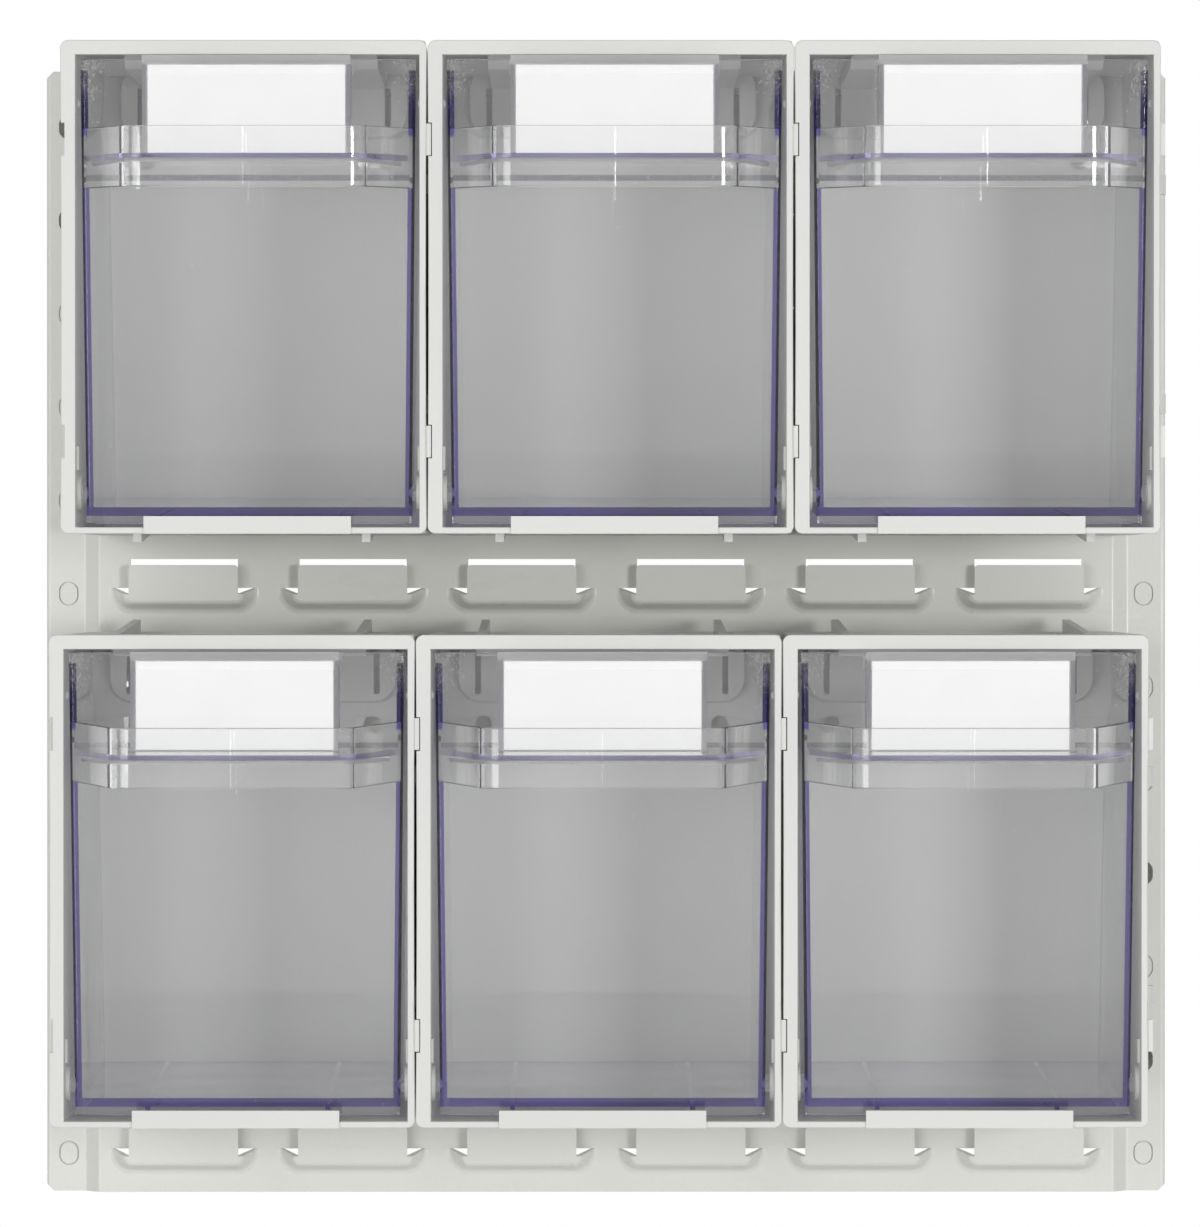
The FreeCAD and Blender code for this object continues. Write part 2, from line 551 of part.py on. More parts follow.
def housing():
    parts = []
    cx = BIN_SHIFT
    lip_y = FRONT_LIP_T - FRONT_LIP_PROUD
    parts.append(box(cx - FRONT_LIP_W / 2, cx + FRONT_LIP_W / 2, -FRONT_LIP_PROUD, lip_y, 0, FRONT_LIP_H))
    for z in TAB_Z:
        parts.append(box(CASE_HALF - 1, CASE_HALF + TAB_OUT, TAB_BACK, TAB_BACK + TAB_T,
                         z - TAB_H / 2, z + TAB_H / 2))
    wall = CASE_HALF - CASE_INSET - WALL_T / 2
    for z in HOOK_Z:
        ramp = [(wall, HOOK_Y), (CASE_HALF + HOOK_OUT / 2, HOOK_Y), (CASE_HALF + HOOK_OUT, HOOK_Y + 2),
                (CASE_HALF + HOOK_OUT, HOOK_Y + HOOK_LONG - 3), (wall, HOOK_Y + HOOK_LONG)]
        parts.append(prism_z(ramp, z - HOOK_H / 2, z + HOOK_H / 2))
    for side in (-1, 1):
        x = cx + side * PEG_X
        y = PEG_Y
        peg = [(y, 0.3), (y, -PEG_H), (y + PEG_LONG, -PEG_H), (y + PEG_LONG + PEG_GUSSET, 0.3)]
        parts.append(prism_x(peg, x - PEG_T / 2, x + PEG_T / 2))
        x = cx + side * FIN_X
        top = CASE_H
        end = CASE_DEPTH - FIN_SHORT
        fin = [(FIN_FRONT, top - 0.5), (end, top - 0.5), (end, top + FIN_H), (FIN_FRONT, top)]
        parts.append(prism_x(fin, x - FIN_T / 2, x + FIN_T / 2))
        face = side_wall_x(side, 0)
        inner = face - side * GUIDE_T
        x0, x1 = sorted((inner, face + side * WALL_T / 2))
        parts.append(box(x0, x1, *GUIDE_Y, *GUIDE_Z))
        parts.append(rod_x(PIVOT_Y, PIVOT_Z, BEARING_R, face + side * WALL_T / 2, face - side * BEARING_T))
        ball_x = face - side * (DETENT_OUT - DETENT_R)
        ball = Part.makeSphere(DETENT_R, vec(ball_x, DETENT_Y, CASE_H - DETENT_DOWN))
        x0, x1 = sorted((face + side * WALL_T / 2, face - side * DETENT_OUT * 2))
        parts.append(ball.common(box(x0, x1, 0, 30, 0, CASE_H)))
    parts.append(hanging_rail())
    shape = front_frame().fuse([case_body()] + parts)
    cuts = []
    for z in TAB_Z:
        half = TAB_H / 2 + SEAT_GAP
        cuts.append(box(-CASE_HALF - 1, -CASE_HALF + TAB_OUT, -1, FRAME_T + 1, z - half, z + half))
    for side in (-1, 1):
        face = side_wall_x(side, 0)
        cuts.append(rod_x(PIVOT_Y, PIVOT_Z, STUD_R + PIN_GAP,
                          face - side * (BEARING_T + 1), face - side * (BEARING_T - STUD_SINK)))
    return shape.cut(cuts).removeSplitter()


# ---------------------------------------------------------------- tilt bin

def bin_half(z, inset=0.0):
    """Half-width of the bin's outside at height z, less inset."""
    share = (z - FACE_FOOT_Z) / (FACE_TOP_Z - FACE_FOOT_Z)
    return BIN_FOOT_HALF + BIN_DRAFT * share - inset


def bin_taper(inset):
    """Everything between the two drafted side planes, moved in by inset."""
    z0, z1 = -CASE_H, 2 * CASE_H
    low, high = bin_half(z0, inset), bin_half(z1, inset)
    return prism_y([(-low, z0), (low, z0), (high, z1), (-high, z1)], -CASE_DEPTH, 2 * CASE_DEPTH)


def side_arc_z(y):
    """Height of the side wall's top edge: an arc about the pivot."""
    return PIVOT_Z + math.sqrt(SIDE_R ** 2 - (y - PIVOT_Y) ** 2)


def face_y(z):
    """Front of the face at height z."""
    return FACE_FOOT_Y - (z - FACE_FOOT_Z) * math.tan(math.radians(FACE_LEAN))


def back_y(z):
    """Outside of the back wall at height z."""
    top = side_arc_z(BACK_TOP_Y)
    return BACK_FOOT_Y + (BACK_TOP_Y - BACK_FOOT_Y) * (z - FLOOR_BACK_Z) / (top - FLOOR_BACK_Z)


def bin_shell():
    t = FACE_T
    top = FACE_TOP_Z
    z_arc = side_arc_z(face_y(top) + t)
    arc_front = vec(0, face_y(z_arc) + t, side_arc_z(face_y(z_arc) + t))
    arc_back = vec(0, BACK_TOP_Y, side_arc_z(BACK_TOP_Y))
    mid_y = (arc_front.y + arc_back.y) / 2
    corner = [vec(0, face_y(top) + t, top), vec(0, face_y(top), top), vec(0, FACE_FOOT_Y, FACE_FOOT_Z),
              vec(0, FACE_FOOT_Y + t, FACE_FOOT_Z), vec(0, face_y(FLOOR_FRONT_Z) + t, FLOOR_FRONT_Z),
              vec(0, BACK_FOOT_Y, FLOOR_BACK_Z)]
    edges = [Part.makeLine(arc_front, corner[0])]
    edges += [Part.makeLine(corner[i], corner[i + 1]) for i in range(5)]
    edges.append(Part.makeLine(corner[5], arc_back))
    edges.append(Part.Arc(arc_back, vec(0, mid_y, side_arc_z(mid_y)), arc_front).toShape())
    wide = CASE_W
    outer = Part.Face(Part.Wire(edges)).extrude(vec(2 * wide, 0, 0)).translated(vec(-wide, 0, 0))
    high = 2 * CASE_H
    floor_front = FLOOR_FRONT_Z + FLOOR_T
    floor_back = FLOOR_BACK_Z + FLOOR_T
    inside = prism_x([
        (face_y(floor_front) + t, floor_front), (back_y(floor_back) - BACK_T, floor_back),
        (back_y(high) - BACK_T, high), (face_y(high) + t, high)], -wide, wide)
    shell = outer.common(bin_taper(0)).cut(inside.common(bin_taper(SIDE_T)))
    ring = [e for e in shell.Edges if all(abs(v.Y - face_y(v.Z)) < TINY for v in e.Vertexes)]
    sides = [e for e in ring if e.BoundBox.ZLength > TINY]
    shell = shell.makeFillet(FACE_SIDE_R, sides)
    ends = [e for e in shell.Edges if e.BoundBox.ZLength < TINY
            and all(abs(v.Y - face_y(v.Z)) < TINY for v in e.Vertexes)]
    return shell.makeFillet(CLEAR_EDGE_R, ends)


def on_face(shape):
    """Move a shape from the face's own frame (x across, y into the face, z up it) to its place."""
    moved = shape.translated(vec(0, FACE_FOOT_Y, FACE_FOOT_Z))
    moved.rotate(vec(0, FACE_FOOT_Y, FACE_FOOT_Z), vec(1, 0, 0), FACE_LEAN)
    return moved


def grip_plan(inset):
    """The grip's plan from end to end, moved in by inset; the flat front faces the viewer."""
    slant = math.atan2(GRIP_OUT, GRIP_HALF - GRIP_FLAT_HALF)
    out = GRIP_OUT - inset
    end = GRIP_HALF - inset / math.sin(slant)
    flat = end - out / math.tan(slant)
    r = GRIP_R - inset
    tangent = r * math.tan(slant / 2)
    a = vec(-end, 0, 0)
    b = vec(-flat - tangent * math.cos(slant), -out + tangent * math.sin(slant), 0)
    c = vec(-flat + tangent, -out, 0)
    turn = vec(-flat + tangent, -out + r, 0)
    middle = turn + vec(-r * math.sin(slant / 2), -r * math.cos(slant / 2), 0)
    left = [Part.makeLine(a, b), Part.Arc(b, middle, c).toShape()]

    def mirror(p):
        return vec(-p.x, p.y, p.z)

    right = [Part.Arc(mirror(c), mirror(middle), mirror(b)).toShape(), Part.makeLine(mirror(b), mirror(a))]
    inner = 1.0
    tail = [mirror(a), vec(end, inner, 0), vec(-end, inner, 0), a]
    close = [Part.makeLine(tail[i], tail[i + 1]) for i in range(3)]
    return Part.Face(Part.Wire(left + [Part.makeLine(c, mirror(c))] + right + close))


def grip():
    outer = grip_plan(0).extrude(vec(0, 0, GRIP_H))
    inner = grip_plan(GRIP_T).extrude(vec(0, 0, GRIP_H))
    web_z = (GRIP_H - WEB_T) / 2
    web = grip_plan(GRIP_T / 2).extrude(vec(0, 0, WEB_T)).translated(vec(0, 0, web_z))
    band = outer.cut(inner)
    rims = [e for e in band.Edges
            if e.CenterOfMass.y < -1 and e.CenterOfMass.z % GRIP_H < TINY and e.BoundBox.ZLength < TINY]
    band = band.makeFillet(CLEAR_EDGE_R, rims).fuse(web)
    return on_face(band.translated(vec(0, 0, GRIP_FOOT)))


def label_pocket():
    foot = GRIP_FOOT + (GRIP_H + WEB_T) / 2
    t = LABEL_T
    front = -LABEL_OUT
    pieces = [box(-LABEL_HALF, LABEL_HALF, front, front + t, foot - 0.5, LABEL_TOP)]
    pieces.append(box(-LABEL_HALF, LABEL_HALF, front - LABEL_BEAD_OUT, front + t,
                      LABEL_TOP - LABEL_BEAD_H, LABEL_TOP))
    card_back = front + t + SEAT_GAP + CARD_T
    for side in (-1, 1):
        x0, x1 = sorted((side * LABEL_HALF, side * (LABEL_HALF - t)))
        pieces.append(box(x0, x1, front, 0.5, foot - 0.5, CARD_TOP))
        x0, x1 = sorted((side * (LABEL_HALF - t / 2), side * (LABEL_HALF - t - RIB_W)))
        pieces.append(box(x0, x1, card_back + SEAT_GAP, card_back + SEAT_GAP + RIB_T, foot - 0.5, CARD_TOP))
    return on_face(pieces[0].multiFuse(pieces[1:]))


def label_card():
    foot = GRIP_FOOT + (GRIP_H + WEB_T) / 2
    back = -LABEL_OUT + LABEL_T + SEAT_GAP + CARD_T
    half = LABEL_HALF - LABEL_T - CARD_HALF_GAP
    card = box(-half, half, back - CARD_T, back, foot + SEAT_GAP, CARD_TOP)
    return on_face(card).translated(vec(BIN_SHIFT, 0, 0))


def tilt_bin():
    extras = [grip(), label_pocket()]
    floor_angle = (FLOOR_BACK_Z - FLOOR_FRONT_Z) / (BACK_FOOT_Y - FACE_FOOT_Y - FACE_T)
    for side in (-1, 1):
        x = side * FLOOR_RIB_X
        y0 = FACE_FOOT_Y + FACE_T / 2
        z0 = FLOOR_FRONT_Z - floor_angle * FACE_T / 2
        end = BACK_FOOT_Y
        rib = [(y0, z0 - FLOOR_RIB_H), (end - 8, FLOOR_BACK_Z - FLOOR_RIB_H), (end, FLOOR_BACK_Z),
               (end, FLOOR_BACK_Z + 0.5), (y0, z0 + 0.5)]
        extras.append(prism_x(rib, x - FLOOR_RIB_T / 2, x + FLOOR_RIB_T / 2))
        wall = side_wall_x(side, 0) - BIN_SHIFT
        reach = wall + side * (STUD_SINK - BEARING_T - STUD_END_GAP)
        extras.append(rod_x(PIVOT_Y, PIVOT_Z, STUD_R, side * bin_half(PIVOT_Z, SIDE_T / 2), reach))
        y = BACK_TOP_Y - STOP_IN
        z = PIVOT_Z + math.sqrt((CASE_H - DETENT_DOWN - PIVOT_Z) ** 2 - (y - PIVOT_Y) ** 2)
        extras.append(rod_x(y, z, STOP_R, side * bin_half(z, SIDE_T / 2), side * bin_half(z, -STOP_OUT)))
    return bin_shell().fuse(extras).removeSplitter().translated(vec(BIN_SHIFT, 0, 0))


# ---------------------------------------------------------------- the whole part

ROW_NAMES = ("top", "bottom")
COL_NAMES = ("left", "middle", "right")


def module_places():
    for row, row_name in enumerate(ROW_NAMES):
        for col, col_name in enumerate(COL_NAMES):
            x = (col - (MODULE_COLS - 1) / 2) * MODULE_PITCH_X + ROW_SHIFT[row]
            z = TOP_Z - CASE_H - row * ROW_PITCH
            yield row_name + "_" + col_name, vec(x, FRONT_Y, z)


def export(name, shape):
    solids = shape.Solids
    if len(solids) == 1:
        shape = solids[0]
    print(name, "solids", len(solids), "valid", shape.isValid(), "cm3", round(shape.Volume / 1000, 2))
    shape.exportStep("parts/" + name + ".step")


def main():
    os.makedirs("parts", exist_ok=True)
    export("louvred_panel", louvred_panel())
    screw = wall_screw()
    for x, z in wall_places(SCREW_ROWS):
        name = "wall_screw_" + ("upper" if z > 0 else "lower") + "_" + ("left" if x < 0 else "right")
        export(name, screw.translated(vec(x, 0, z)))
    case = housing()
    tub = tilt_bin()
    card = label_card()
    for place, offset in module_places():
        export("housing_" + place, case.translated(offset))
        export("bin_" + place, tub.translated(offset))
        export("label_" + place, card.translated(offset))


main()
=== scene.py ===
import math

import bpy
import numpy as np
from bpy.props import FloatProperty, FloatVectorProperty, PointerProperty
from bpy.types import Operator, Panel, PropertyGroup
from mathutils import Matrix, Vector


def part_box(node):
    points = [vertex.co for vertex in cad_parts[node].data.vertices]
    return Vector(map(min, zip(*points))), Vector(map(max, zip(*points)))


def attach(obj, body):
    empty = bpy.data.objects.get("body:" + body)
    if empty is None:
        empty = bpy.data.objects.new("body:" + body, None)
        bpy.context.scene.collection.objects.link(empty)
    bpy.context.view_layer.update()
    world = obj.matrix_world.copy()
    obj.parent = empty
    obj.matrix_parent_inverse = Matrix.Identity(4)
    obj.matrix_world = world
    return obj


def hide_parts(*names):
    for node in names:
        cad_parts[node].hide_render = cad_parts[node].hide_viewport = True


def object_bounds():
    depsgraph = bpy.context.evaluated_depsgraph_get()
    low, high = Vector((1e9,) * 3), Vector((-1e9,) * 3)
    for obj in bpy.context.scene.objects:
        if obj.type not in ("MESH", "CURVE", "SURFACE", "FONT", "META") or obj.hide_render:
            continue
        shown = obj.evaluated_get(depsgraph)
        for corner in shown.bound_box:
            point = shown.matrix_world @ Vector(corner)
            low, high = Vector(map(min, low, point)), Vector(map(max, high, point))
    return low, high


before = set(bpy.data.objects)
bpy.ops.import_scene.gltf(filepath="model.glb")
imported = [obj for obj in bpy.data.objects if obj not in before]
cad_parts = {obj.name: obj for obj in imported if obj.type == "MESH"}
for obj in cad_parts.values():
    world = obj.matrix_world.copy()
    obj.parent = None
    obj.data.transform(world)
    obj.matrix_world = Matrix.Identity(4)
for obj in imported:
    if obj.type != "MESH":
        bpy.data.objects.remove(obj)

bl_info = {
    "name": "Tilt Bin Wall Organizer",
    "version": (1, 0, 0),
    "blender": (4, 5, 0),
    "location": "3D View > Sidebar > Organizer",
    "description": "Dresses the panel, housings, clear tilt bins and cards, and sets the stage",
    "category": "Object",
}

CAD_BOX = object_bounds()
FRONT = CAD_BOX[0][1]
PLACES = [row + "_" + col for row in ("top", "bottom") for col in ("left", "middle", "right")]
SCREWS = ["wall_screw_" + v + "_" + s for v in ("upper", "lower") for s in ("left", "right")]

# Where the marks on a bin lie, in metres: across from the bin's middle, up from the lower end of
# its housing's pegs, back as the object's own y. Four numbers say where a mark starts, is full,
# begins to fade and is gone; two say where it starts and is full, or begins to fade and is gone.
CORNER_ACROSS, CORNER_UP = (0.043, 0.056), (0.137, 0.159)
PARTING_ACROSS, PARTING_UP = (0.00008, 0.00025), (0.1145, 0.1155, 0.1365, 0.1375)
# Painted shade: the side walls' front edges above the grip are coloured dark navy. This stands in
# partly for the violet that the plastic gives light on its long way along the wall, and partly for
# the shade of the dark gap behind it.
SHADED_EDGE_ACROSS, SHADED_EDGE_UP = (0.0538, 0.0543), (0.136, 0.137, 0.148, 0.153)
SHADED_EDGE_BACK = (FRONT + 0.0375, FRONT + 0.038)
WEB_UP, WEB_BACK = (0.1257, 0.1261, 0.1271, 0.1275), (FRONT + 0.026, FRONT + 0.028)
BEAD_UP, BEAD_ACROSS = (0.1565, 0.1575), (0.035, 0.036)
POCKET_ACROSS, POCKET_UP = (0.0332, 0.0335, 0.0352, 0.0355), (0.127, 0.128)
POCKET_BACK = (FRONT + 0.012, FRONT + 0.014, FRONT + 0.027, FRONT + 0.029)

# Between these two values lie most of a noise's grains.
GRAINS = (0.3, 0.7)

# Stage, in metres and radians.
FLOOR_REACH, FLOOR_POINTS = 6, 13
FLOOR_FADE = (0.9, 2.4)
LAMP_AIM = (0, -0.1, -0.05)
LAMPS = (("Left lamp", (-1.15, -2.25, -0.02), (1.3, 1.1)),
         ("Right lamp", (1.15, -2.25, -0.02), (0.5, 0.4)))
EYE_PLACE = (-0.0085, -2.206, -0.02765)
EYE_TURN = (math.radians(90) - 0.00584, 0, -0.00286)
EYE_LENS, EYE_SENSOR, EYE_REACH = 184.09, 36.0, 50.0


# ------------------------------------------------------------------ sizes and colours

def colour(name, description, default):
    """Colour setting of the sidebar."""
    return FloatVectorProperty(name=name, description=description, default=default, size=3,
                               min=0.0, max=1.0, subtype="COLOR")


class PanelFinish(PropertyGroup):
    paint: colour("Paint", "Colour of the powder coat on the steel panel", (0.71, 0.72, 0.675))
    roughness: FloatProperty(name="Roughness", description="Dullness of the powder coat",
                             default=0.32, min=0.05, max=1.0, subtype="FACTOR")
    peel: FloatProperty(name="Orange peel", description="Height of the powder coat's fine waviness",
                        default=0.00005, min=0.0, max=0.001, unit="LENGTH", precision=6)


class HousingFinish(PropertyGroup):
    plastic: colour("Plastic", "Colour of the moulded housings", (0.69, 0.695, 0.67))
    roughness: FloatProperty(name="Roughness", description="Dullness of the moulded surface",
                             default=0.4, min=0.05, max=1.0, subtype="FACTOR")
    grain: FloatProperty(name="Grain", description="Height of the fine grain on the mouldings",
                         default=0.00003, min=0.0, max=0.001, unit="LENGTH", precision=6)


class BinFinish(PropertyGroup):
    clear: colour("Clear plastic", "Colour that the surface passes", (0.985, 0.995, 0.962))
    # Painted shade: the dark navy put on the side walls' front edges above the grip, standing in
    # partly for the plastic's long-path violet and partly for the shade behind them.
    painted_edge_shade: colour("Deep edge", "Colour of the side walls' front edges above the grip",
                 (0.13, 0.1, 0.95))
    tint: colour("Edge tint", "Colour that light keeps on a long way through the plastic",
                 (0.25, 0.14, 0.78))
    depth: FloatProperty(name="Tint strength",
                         description="Absorption per metre of the tinted plastic",
                         default=17.0, min=0.0, max=500.0)
    ior: FloatProperty(name="Index", description="Refractive index of the clear plastic",
                       default=1.5, min=1.0, max=2.0)
    scratch: FloatProperty(name="Scratch depth", description="Depth of the fine handling scratches",
                           default=0.00001, min=0.0, max=0.0005, unit="LENGTH", precision=6)


class CardFinish(PropertyGroup):
    paper: colour("Card", "Colour of the label card", (0.92, 0.92, 0.92))
    bow: FloatProperty(name="Bow",
                       description="How far the card's middle stands forward of its edges",
                       default=0.00018, min=0.0, max=0.001, unit="LENGTH", precision=5)
    thickness: FloatProperty(name="Thickness", description="Thickness of the card", default=0.0003,
                             min=0.0001, max=0.001, unit="LENGTH", precision=5)


class ScrewFinish(PropertyGroup):
    zinc: colour("Zinc", "Colour of the plated screws", (0.66, 0.66, 0.64))
    recess_width: FloatProperty(name="Recess width",
                                description="Width of a slot of the cross recess",
                                default=0.0009, min=0.0002, max=0.002, unit="LENGTH", precision=5)
    recess_depth: FloatProperty(name="Recess depth", description="Depth of the cross recess",
                                default=0.0013, min=0.0002, max=0.002, unit="LENGTH", precision=5)


class StageFinish(PropertyGroup):
    floor_drop: FloatProperty(name="Floor drop",
                              description="Distance from the organizer down to the floor",
                              default=0.45, min=0.0, max=2.0, unit="LENGTH")
    soft_light: FloatProperty(name="Soft light",
                              description="Strength of the even light from all round",
                              default=0.42, min=0.0, max=5.0)
    lamp_power: FloatProperty(name="Lamp power", description="Power of each of the two side lamps",
                              default=18.2, min=0.0, max=500.0, unit="POWER")


class OrganizerSettings(PropertyGroup):
    panel: PointerProperty(type=PanelFinish, name="Panel",
                           description="Finish of the louvred panel")
    housing: PointerProperty(type=HousingFinish, name="Housing",
                             description="Finish of the housings")
    bins: PointerProperty(type=BinFinish, name="Bins", description="Finish of the tilt bins")
    card: PointerProperty(type=CardFinish, name="Card", description="Size and finish of the cards")
    screw: PointerProperty(type=ScrewFinish, name="Screw",
                           description="Size and finish of the screws")
    stage: PointerProperty(type=StageFinish, name="Stage", description="Floor and lamps")


# ------------------------------------------------------------------ meshes from arrays

def quads(rows, cols, wrap_cols=False):
    """Four corner numbers per face of a grid of rows x cols points, its rows closed where asked."""
    i = np.arange(rows - 1)[:, None]
    j = np.arange(cols if wrap_cols else cols - 1)[None, :]
    i2, j2 = i + 1, (j + 1) % cols
    corners = [i * cols + j, i * cols + j2, i2 * cols + j2, i2 * cols + j]
    return np.stack(np.broadcast_arrays(*corners), axis=-1).reshape(-1, 4)


def new_piece(name, verts, faces, material, smooth=True):
    """Mesh object at the origin from an array of points (n x 3) and a list of corner arrays."""
    mesh = bpy.data.meshes.new(name)
    faces = [f for block in faces for f in np.asarray(block).tolist()]
    mesh.from_pydata(np.asarray(verts, dtype=float).tolist(), [], faces)
    mesh.validate()
    mesh.polygons.foreach_set("use_smooth", np.full(len(mesh.polygons), smooth))
    mesh.materials.append(material)
    mesh.update()
    piece = bpy.data.objects.new(name, mesh)
    bpy.context.scene.collection.objects.link(piece)
    return piece


def dress(nodes, material):
    """Gives CAD nodes one material in every slot."""
    for name in nodes:
        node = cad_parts[name]
        if not node.data.materials:
            node.data.materials.append(material)
        for i in range(len(node.data.materials)):
            node.data.materials[i] = material


# ------------------------------------------------------------------ materials

def maths(tree, operation, *values):
    """Works the values together from left to right, each step one math node of that kind."""
    result = values[0]
    for value in values[1:]:
        node = tree.nodes.new("ShaderNodeMath")
        node.operation = operation
        for socket, given in zip(node.inputs, (result, value)):
            if isinstance(given, float):
                socket.default_value = given
            else:
                tree.links.new(given, socket)
        result = node.outputs[0]
    return result


def mix_shaders(tree, factor, first, second):
    """Node between two shaders: factor 0 gives the first, 1 the second."""
    node = tree.nodes.new("ShaderNodeMixShader")
    for socket, given in zip(node.inputs, (factor, first.outputs[0], second.outputs[0])):
        tree.links.new(given, socket)
    return node


class Shades:
    """Short hand for building one material's nodes."""

    def __init__(self, name):
        self.mat = bpy.data.materials.new(name)
        self.mat.use_nodes = True
        self.tree = self.mat.node_tree
        self.tree.nodes.clear()
        self.out = self.add("ShaderNodeOutputMaterial")
        self.coords = self.add("ShaderNodeTexCoord").outputs["Object"]

    def add(self, kind, **inputs):
        """New node with constants set on its named sockets."""
        node = self.tree.nodes.new(kind)
        for key, value in inputs.items():
            node.inputs[key.replace("_", " ")].default_value = value
        return node

    def link(self, a, b):
        self.tree.links.new(a, b)

    def noise(self, scale, detail=2.0, stretch=(1, 1, 1), roughness=0.5):
        """Noise on object coordinates: scale gives its grains per metre, stretch draws them out."""
        place = self.add("ShaderNodeMapping")
        place.inputs["Scale"].default_value = stretch
        self.link(self.coords, place.inputs["Vector"])
        node = self.add("ShaderNodeTexNoise", Scale=scale, Detail=detail, Roughness=roughness)
        self.link(place.outputs["Vector"], node.inputs["Vector"])
        return node.outputs["Fac"]

    def spread(self, value, low, high, to_low, to_high):
        """Maps value from low..high to to_low..to_high, held at both ends."""
        node = self.add("ShaderNodeMapRange", From_Min=low, From_Max=high,
                        To_Min=to_low, To_Max=to_high)
        self.link(value, node.inputs["Value"])
        return node.outputs["Result"]

    def rise(self, value, start, full):
        """0 up to start, 1 from full on."""
        return self.spread(value, start, full, 0.0, 1.0)

    def fall(self, value, fade, gone):
        """1 up to fade, 0 from gone on."""
        return self.spread(value, fade, gone, 1.0, 0.0)

    def band(self, value, start, full, fade, gone):
        """1 from full to fade, eased down to 0 at start and at gone."""
        return self.times(self.rise(value, start, full), self.fall(value, fade, gone))

    def plus(self, *values):
        return maths(self.tree, "ADD", *values)

    def times(self, *values):
        return maths(self.tree, "MULTIPLY", *values)

    def largest(self, *values):
        return maths(self.tree, "MAXIMUM", *values)

    def wrap(self, value, low, high):
        """Value folded back into low..high as often as it takes."""
        node = self.add("ShaderNodeMath")
        node.operation = "WRAP"
        self.link(value, node.inputs[0])
        node.inputs[1].default_value = high
        node.inputs[2].default_value = low
        return node.outputs[0]

    def blend(self, factor, a, b):
        """Colour between a and b by factor."""
        node = self.add("ShaderNodeMix")
        node.data_type = "RGBA"
        self.link(factor, node.inputs[0])
        for socket, value in ((node.inputs[6], a), (node.inputs[7], b)):
            if isinstance(value, tuple):
                socket.default_value = (*value, 1.0)
            else:
                self.link(value, socket)
        return node.outputs[2]

    def bump(self, height, distance, strength=1.0, normal=None):
        """Normal bent by height times distance, on top of another normal where one is given."""
        node = self.add("ShaderNodeBump", Strength=strength, Distance=distance)
        self.link(height, node.inputs["Height"])
        if normal is not None:
            self.link(normal, node.inputs["Normal"])
        return node.outputs["Normal"]

    def skin(self, base, rough, normal=None, **inputs):
        """Surface shader with the given colour, roughness and normal, and constants by name."""
        node = self.add("ShaderNodeBsdfPrincipled", **inputs)
        self.link(base, node.inputs["Base Color"])
        self.link(rough, node.inputs["Roughness"])
        if normal is not None:
            self.link(normal, node.inputs["Normal"])
        return node

    def done(self, shader):
        """The material, with the shader on its surface."""
        self.link(shader.outputs[0], self.out.inputs["Surface"])
        return self.mat


def shade(rgb, factor):
    """The colour times factor, held at white."""
    return tuple(min(1.0, c * factor) for c in rgb)


def powder_coat(finish):
    """Satin powder coat: soft cloudiness, fine orange peel, a few faint rubbed places."""
    s = Shades("Grey powder coat")
    paint = tuple(finish.paint)
    cloud = s.noise(9.0, 3.0)
    fleck = s.noise(2600.0, 2.0)
    rub = s.noise(38.0, 4.0, (1.0, 1.0, 3.0))
    peel = s.noise(720.0, 2.0)
    base = s.blend(s.rise(cloud, *GRAINS), shade(paint, 0.965), shade(paint, 1.02))
    base = s.blend(s.spread(fleck, 0.62, 0.75, 0.0, 0.5), base, shade(paint, 0.9))
    rough = s.plus(s.spread(rub, 0.35, 0.7, finish.roughness + 0.05, finish.roughness - 0.06),
                   s.spread(fleck, *GRAINS, -0.03, 0.03))
    normal = s.bump(rub, 0.0002, 0.15, s.bump(peel, finish.peel, 0.8))
    return s.done(s.skin(base, rough, normal, IOR=1.5))


def housing_plastic(finish):
    """Satin moulded plastic: flow streaks along the draw, fine grain, slight scuffing."""
    s = Shades("Warm grey moulding")
    plastic = tuple(finish.plastic)
    flow = s.noise(7.0, 3.0, (1.0, 0.35, 1.6))
    scuff = s.noise(55.0, 5.0, (1.0, 0.5, 2.5), 0.65)
    grain = s.noise(1900.0, 2.0)
    base = s.blend(s.rise(flow, *GRAINS), shade(plastic, 0.975), shade(plastic, 1.015))
    base = s.blend(s.spread(scuff, 0.66, 0.8, 0.0, 0.35), base, shade(plastic, 0.86))
    rough = s.plus(s.spread(scuff, 0.3, 0.75, finish.roughness - 0.04, finish.roughness + 0.09),
                   s.spread(grain, *GRAINS, -0.03, 0.03))
    return s.done(s.skin(base, rough, s.bump(grain, finish.grain, 0.7), IOR=1.49))


def place_in_bin(s):
    """Place of a point on its own bin, in metres: sideways from the bin's middle, up from the
    lower end of its housing's pegs, and its y. Sideways is x less the row's middle, folded by the
    columns' pitch, without its sign; up is z less the pegs' end, folded by the rows' pitch."""
    rows = [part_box(f"bin_{row}_middle") for row in ("top", "bottom")]
    middles = [float(low[0] + high[0]) / 2 for low, high in rows]
    pegs = [float(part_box(f"housing_{row}_middle")[0][2]) for row in ("top", "bottom")]
    pitch = float(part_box("bin_top_right")[0][0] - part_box("bin_top_middle")[0][0])
    below = 0.01
    parts = s.add("ShaderNodeSeparateXYZ")
    s.link(s.coords, parts.inputs[0])
    x, y, z = parts.outputs
    upper_row = maths(s.tree, "GREATER_THAN", z, pegs[0] - below)
    middle = s.plus(s.times(upper_row, middles[0] - middles[1]), middles[1])
    across = s.wrap(maths(s.tree, "SUBTRACT", x, middle), -pitch / 2, pitch / 2)
    up = s.wrap(s.plus(z, -pegs[0]), 0.0, pegs[0] - pegs[1])
    return maths(s.tree, "ABSOLUTE", across, 0.0), up, y


